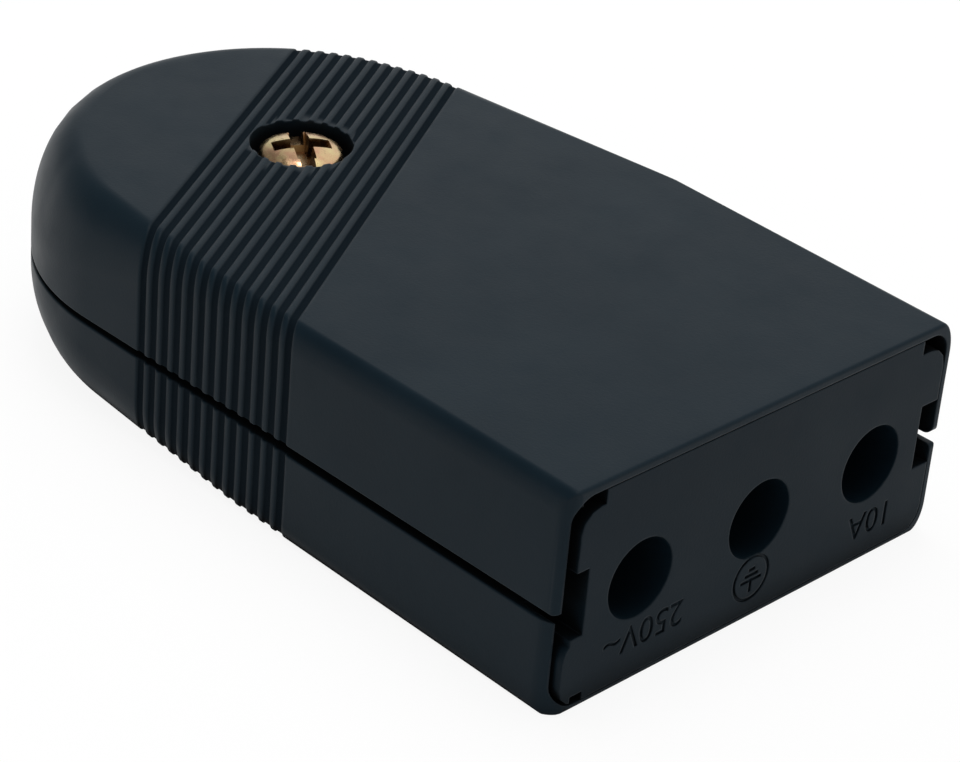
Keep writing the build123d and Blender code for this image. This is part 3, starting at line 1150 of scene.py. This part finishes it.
@dataclass
class FrontPlate:
    """The insulating face: its solid with softened front edges, and the generic marks engraved into it."""

    form: BodyForm
    edge_bevel: float = 0.14
    edge_segments: int = 3
    rim_turn: float = 1.0
    mark_depth: float = 0.1
    letter_size: float = 2.35
    letter_steps: int = 4
    stroke: float = 0.2
    sign_radius: float = 1.5
    sign_steps: int = 48
    sign_clear: float = 1.0
    sign_bars: tuple[float, float, float] = (0.85, 0.55, 0.25)
    sign_step: float = 0.36
    sign_first_bar: float = 0.4
    sign_stem: float = 2.6
    sign_place: Span = (0.0, 2.75)
    far_foot_back: float = 23.0
    far_foot_across: Span = (12.9, 14.35)
    far_foot_up: Span = (0.4, 1.2)
    rating_places: dict[str, Span] = field(default_factory=lambda: {
        "250V~": (-8.7, 3.0),
        "10A": (10.3, 2.6),
    })

    def on_rim(self, edge: bmesh.types.BMEdge) -> bool:
        """Whether an edge bounds the front face."""
        ahead = all(corner.co.x > self.form.face_x - 10 * WELD for corner in edge.verts)
        return ahead and len(edge.link_faces) == 2 and edge.calc_face_angle(0.0) > self.rim_turn

    def placed(self, tool: bpy.types.Object, place: Span) -> bpy.types.Object:
        """Turns a mark drawn flat to the face, upside down, and moves it to its place.

        Args:
            tool: The mark as a solid.
            place: Its place across and up on the face.

        Returns:
            The same solid.
        """
        face_x = self.form.face_x
        turn = Matrix(((0, 0, 1, face_x), (-1, 0, 0, place[0]), (0, -1, 0, place[1]), (0, 0, 0, 1)))
        tool.data.transform(turn)
        return tool

    def letters(self, body: str) -> bpy.types.Object:
        """One group of letters as a solid, drawn flat round the origin.

        Args:
            body: The letters.

        Returns:
            The solid.
        """
        curve = bpy.data.curves.new("letters", "FONT")
        curve.body = body
        curve.size = self.letter_size
        curve.align_x = "CENTER"
        curve.align_y = "CENTER"
        curve.extrude = self.mark_depth
        curve.resolution_u = self.letter_steps
        holder = bpy.data.objects.new("letters", curve)
        bpy.context.scene.collection.objects.link(holder)
        graph = bpy.context.evaluated_depsgraph_get()
        mesh = bpy.data.meshes.new_from_object(holder.evaluated_get(graph), depsgraph=graph)
        bpy.data.objects.remove(holder)
        bpy.data.curves.remove(curve)
        work = bmesh.new()
        work.from_mesh(mesh)
        bpy.data.meshes.remove(mesh)
        bmesh.ops.remove_doubles(work, verts=work.verts, dist=WELD)
        bmesh.ops.recalc_face_normals(work, faces=work.faces)
        return MeshShop.from_bmesh("letters", work)

    def earth_sign(self) -> list[bpy.types.Object]:
        """The earth sign in its ring, drawn flat round the origin.

        Returns:
            The sign's solids.
        """
        deep = self.mark_depth
        half = self.stroke / 2
        outside = MeshShop.circle(self.sign_radius, self.sign_steps)
        inside = MeshShop.circle(self.sign_radius - self.stroke, self.sign_steps)
        ring = MeshShop.prism("ring", outside, -deep, deep)
        hole = MeshShop.prism("hole", inside, -self.sign_clear, self.sign_clear)
        MeshShop.combine(ring, [hole], Cut.TAKE_AWAY)
        stem = MeshShop.block("stem", (-half, 0.0, -deep), (half, self.sign_stem * self.sign_step, deep))
        for index, reach in enumerate(self.sign_bars):
            y = (self.sign_first_bar - index) * self.sign_step
            bar = MeshShop.block("bar", (-reach, y - half, -deep), (reach, y + half, deep))
            MeshShop.combine(stem, [bar], Cut.JOIN)
        return [ring, stem]

    def build(self, node: str, material: bpy.types.Material) -> bpy.types.Object:
        """Builds the plate.

        Args:
            node: The node that it stands for.
            material: Its finish.

        Returns:
            The finished plate.
        """
        plate = MeshShop.copy_of_node(node)
        plate.name = node + "_moulding"
        low = (self.far_foot_back, self.far_foot_across[0], self.far_foot_up[0])
        high = (self.form.face_x, self.far_foot_across[1], self.far_foot_up[1])
        MeshShop.combine(plate, [MeshShop.block("foot", low, high)], Cut.JOIN)
        work = bmesh.new()
        work.from_mesh(plate.data)
        bmesh.ops.dissolve_limit(work, angle_limit=0.01, verts=work.verts, edges=work.edges)
        rim = [edge for edge in work.edges if self.on_rim(edge)]
        bmesh.ops.bevel(work, geom=rim, offset=self.edge_bevel, segments=self.edge_segments, profile=0.5,
                        affect="EDGES", clamp_overlap=True, loop_slide=False)
        bmesh.ops.triangulate(work, faces=work.faces)
        work.to_mesh(plate.data)
        work.free()
        marks = [self.placed(tool, self.sign_place) for tool in self.earth_sign()]
        marks += [self.placed(self.letters(body), place) for body, place in self.rating_places.items()]
        MeshShop.combine(plate, marks, Cut.TAKE_AWAY)
        MeshShop.finish(plate, material)
        return plate


@dataclass(frozen=True)
class Lamp:
    """A round soft lamp that shines at the origin, in metres and watts."""

    place: Point
    size: float
    power: float
    mirrored: bool = False


@dataclass
class Studio:
    """Pale floor, soft light, white surround and the camera."""

    aim: Point = (2.7, 0.0, 9.0)
    distance: float = 186.15
    azimuth: float = 44.18
    elevation: float = 28.64
    roll: float = 4.80
    lens: float = 117.92
    shift_x: float = 0.0327
    shift_y: float = -0.0831
    sensor: float = 36.0
    near_clip: float = 0.005
    floor_size: float = 6.0
    floor_drop: float = 0.02
    floor_tone: float = 0.86
    floor_white: float = 1.02
    floor_glow: float = 0.88
    floor_shine: float = 0.37
    surround: float = 0.36
    patch_towards: Point = (-0.72, -0.35, 0.60)
    patch_edge: Span = (0.56, 0.86)
    patch_shine: Span = (0.95, 0.22)
    lamps: dict[str, Lamp] = field(default_factory=lambda: {
        "key_overhead": Lamp((-0.10, 0.10, 0.75), size=0.8, power=3.1),
        "rim_left": Lamp((-0.75, 0.10, 0.16), size=0.45, power=1.0),
        "fill_front": Lamp((0.75, -0.25, 0.45), size=0.7, power=0.5),
        "sparkle": Lamp((-0.065, 0.065, 0.72), size=0.26, power=1.0, mirrored=True),
    })

    def floor(self) -> None:
        """The floor, white to the camera and keeping the shadow."""
        half = self.floor_size / 2
        work = bmesh.new()
        corners = ((-half, -half), (half, -half), (half, half), (-half, half))
        work.faces.new([work.verts.new((x, y, -self.floor_drop * MM)) for x, y in corners])
        floor = MeshShop.from_bmesh("floor", work)
        material = bpy.data.materials.new("pale_floor")
        material.use_nodes = True
        sheet = NodeSheet(material.node_tree)
        material.node_tree.nodes.remove(material.node_tree.nodes["Principled BSDF"])
        matte = sheet.add("ShaderNodeBsdfDiffuse")
        matte.inputs["Color"].default_value = (*[self.floor_tone] * 3, 1.0)
        glow = sheet.add("ShaderNodeEmission")
        glow.inputs["Strength"].default_value = self.floor_white
        mix = sheet.add("ShaderNodeMixShader")
        path = sheet.add("ShaderNodeLightPath").outputs
        seen = sheet.math("MAXIMUM", path["Is Camera Ray"], path["Is Transmission Ray"])
        shown = sheet.math("MULTIPLY", path["Is Glossy Ray"], self.floor_shine)
        sheet.link(sheet.math("MAXIMUM", sheet.math("MULTIPLY", seen, self.floor_glow), shown), mix.inputs[0])
        sheet.link(matte.outputs[0], mix.inputs[1])
        sheet.link(glow.outputs[0], mix.inputs[2])
        sheet.link(mix.outputs[0], material.node_tree.nodes["Material Output"].inputs["Surface"])
        floor.data.materials.append(material)

    def world(self) -> None:
        """The surround: white where it is seen, softer as light, with one dim patch in reflections."""
        world = bpy.data.worlds.new("surround")
        bpy.context.scene.world = world
        world.use_nodes = True
        sheet = NodeSheet(world.node_tree)
        back = world.node_tree.nodes["Background"]
        back.inputs["Color"].default_value = (1.0, 1.0, 1.0, 1.0)
        path = sheet.add("ShaderNodeLightPath").outputs
        facing = sheet.add("ShaderNodeVectorMath", operation="DOT_PRODUCT")
        sheet.link(sheet.add("ShaderNodeTexCoord").outputs["Generated"], facing.inputs[0])
        facing.inputs[1].default_value = Vector(self.patch_towards).normalized()
        sky = sheet.spread(facing.outputs["Value"], self.patch_edge, self.patch_shine)
        seen = sheet.math("MAXIMUM", path["Is Camera Ray"], path["Is Transmission Ray"])
        seen = sheet.math("MAXIMUM", seen, sheet.math("MULTIPLY", path["Is Glossy Ray"], sky))
        soft = sheet.math("MULTIPLY", path["Is Diffuse Ray"], self.surround)
        sheet.link(sheet.math("MAXIMUM", seen, soft), back.inputs["Strength"])

    def light(self) -> None:
        """The soft lamps."""
        for name, lamp in self.lamps.items():
            data = bpy.data.lights.new(name, "AREA")
            data.shape = "DISK"
            data.size = lamp.size
            data.energy = lamp.power
            holder = bpy.data.objects.new(name, data)
            holder.location = lamp.place
            holder.visible_glossy = lamp.mirrored
            ahead = -Vector(lamp.place)
            holder.rotation_euler = ahead.to_track_quat("-Z", "Y").to_euler()
            bpy.context.scene.collection.objects.link(holder)

    def camera(self) -> None:
        """The camera at the photograph's place."""
        az = math.radians(self.azimuth)
        el = math.radians(self.elevation)
        roll = math.radians(self.roll)
        back = Vector((math.sin(az) * math.cos(el), -math.cos(az) * math.cos(el), math.sin(el)))
        right = Vector((math.cos(az), math.sin(az), 0.0))
        up = back.cross(right)
        across = math.cos(roll) * right + math.sin(roll) * up
        upward = math.cos(roll) * up - math.sin(roll) * right
        place = (Vector(self.aim) + self.distance * back) * MM
        data = bpy.data.cameras.new("camera")
        data.sensor_width = self.sensor
        data.sensor_fit = "HORIZONTAL"
        data.lens = self.lens
        data.shift_x = self.shift_x
        data.shift_y = self.shift_y
        data.clip_start = self.near_clip
        camera = bpy.data.objects.new("camera", data)
        turn = Matrix((across, upward, back)).transposed().to_4x4()
        camera.matrix_world = Matrix.Translation(place) @ turn
        bpy.context.scene.collection.objects.link(camera)
        bpy.context.scene.camera = camera

    def build(self) -> None:
        """Sets up the whole studio."""
        bpy.context.scene.view_settings.view_transform = "Standard"
        self.floor()
        self.world()
        self.light()
        self.camera()


FINISHES: dict[str, Finish] = {
    "shell_plastic": MouldedPlastic(
        "shell_plastic_satin",
        dark=(0.0045, 0.0118, 0.0182),
        light=(0.0062, 0.0145, 0.0215),
        edge_wear_and_highlight=(0.028, 0.036, 0.044),
        groove_shade=(0.0026, 0.0060, 0.0094),
    ),
    "plate_plastic": MouldedPlastic(
        "plate_plastic_satin",
        dark=(0.0038, 0.0101, 0.0160),
        light=(0.0054, 0.0127, 0.0190),
        edge_wear_and_highlight=(0.018, 0.025, 0.032),
        groove_shade=(0.003, 0.006, 0.009),
        specular=0.06,
        crevice_shade_reach=4.5,
        crevice_shade_range=(0.69, 0.45),
    ),
    "clamp_plastic": MouldedPlastic(
        "clamp_plastic_satin",
        dark=(0.02, 0.02, 0.021),
        light=(0.028, 0.028, 0.029),
        edge_wear_and_highlight=(0.06, 0.06, 0.06),
        groove_shade=(0.01, 0.01, 0.01),
    ),
    "gilt_screw": PlatedMetal(
        "yellow_passivated",
        main=(0.70, 0.57, 0.29),
        cloud=(0.62, 0.36, 0.22),
        tarnish_and_shade=(0.11, 0.050, 0.013),
        cloud_size=1.1,
        recess_shade_reach=1.5,
        recess_shade_spread=(0.92, 0.62),
    ),
    "nut_steel": PlatedMetal(
        "zinc_nut",
        main=(0.60, 0.60, 0.58),
        cloud=(0.50, 0.50, 0.49),
        tarnish_and_shade=(0.3, 0.29, 0.27),
    ),
    "contact_brass": PlatedMetal(
        "bright_brass",
        main=(0.78, 0.58, 0.26),
        cloud=(0.70, 0.50, 0.22),
        tarnish_and_shade=(0.4, 0.26, 0.12),
    ),
    "clip_steel": PlatedMetal(
        "spring_steel",
        main=(0.46, 0.46, 0.47),
        cloud=(0.38, 0.38, 0.40),
        tarnish_and_shade=(0.2, 0.2, 0.22),
    ),
    "terminal_steel": PlatedMetal(
        "zinc_screw",
        main=(0.62, 0.62, 0.60),
        cloud=(0.54, 0.54, 0.52),
        tarnish_and_shade=(0.3, 0.29, 0.27),
    ),
}


def carry(piece: bpy.types.Object, node: str) -> None:
    """Makes a piece ride on the body and stand for a node, whose solid is hidden.

    Args:
        piece: The finished piece.
        node: The node that it stands for.
    """
    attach(piece, BODY)
    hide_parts(node)
    LOG.info("%s: %d faces", piece.name, len(piece.data.polygons))


def main() -> None:
    """Builds the dressed socket and its studio."""
    logging.basicConfig(level=logging.INFO, format="%(name)s %(message)s")
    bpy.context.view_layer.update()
    materials = {slot: finish.make() for slot, finish in FINISHES.items()}
    for part in frame["record"]["subparts"]:
        node = frame["nodes"][part["node"]]
        for place in node.material_slots:
            place.material = materials[part["material_slot"]]
    form = BodyForm()
    band = GripBand(form)
    screw = CoverScrew()
    shells = ShellPair(form, band, screw)
    carry(shells.build("upper_cover", Half.UPPER, materials["shell_plastic"]), "upper_cover")
    carry(shells.build("lower_base", Half.LOWER, materials["shell_plastic"]), "lower_base")
    carry(FrontPlate(form).build("front_plate", materials["plate_plastic"]), "front_plate")
    carry(screw.build(materials["gilt_screw"]), "cover_screw")
    Studio().build()
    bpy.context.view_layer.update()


if __name__ == "__main__":
    main()
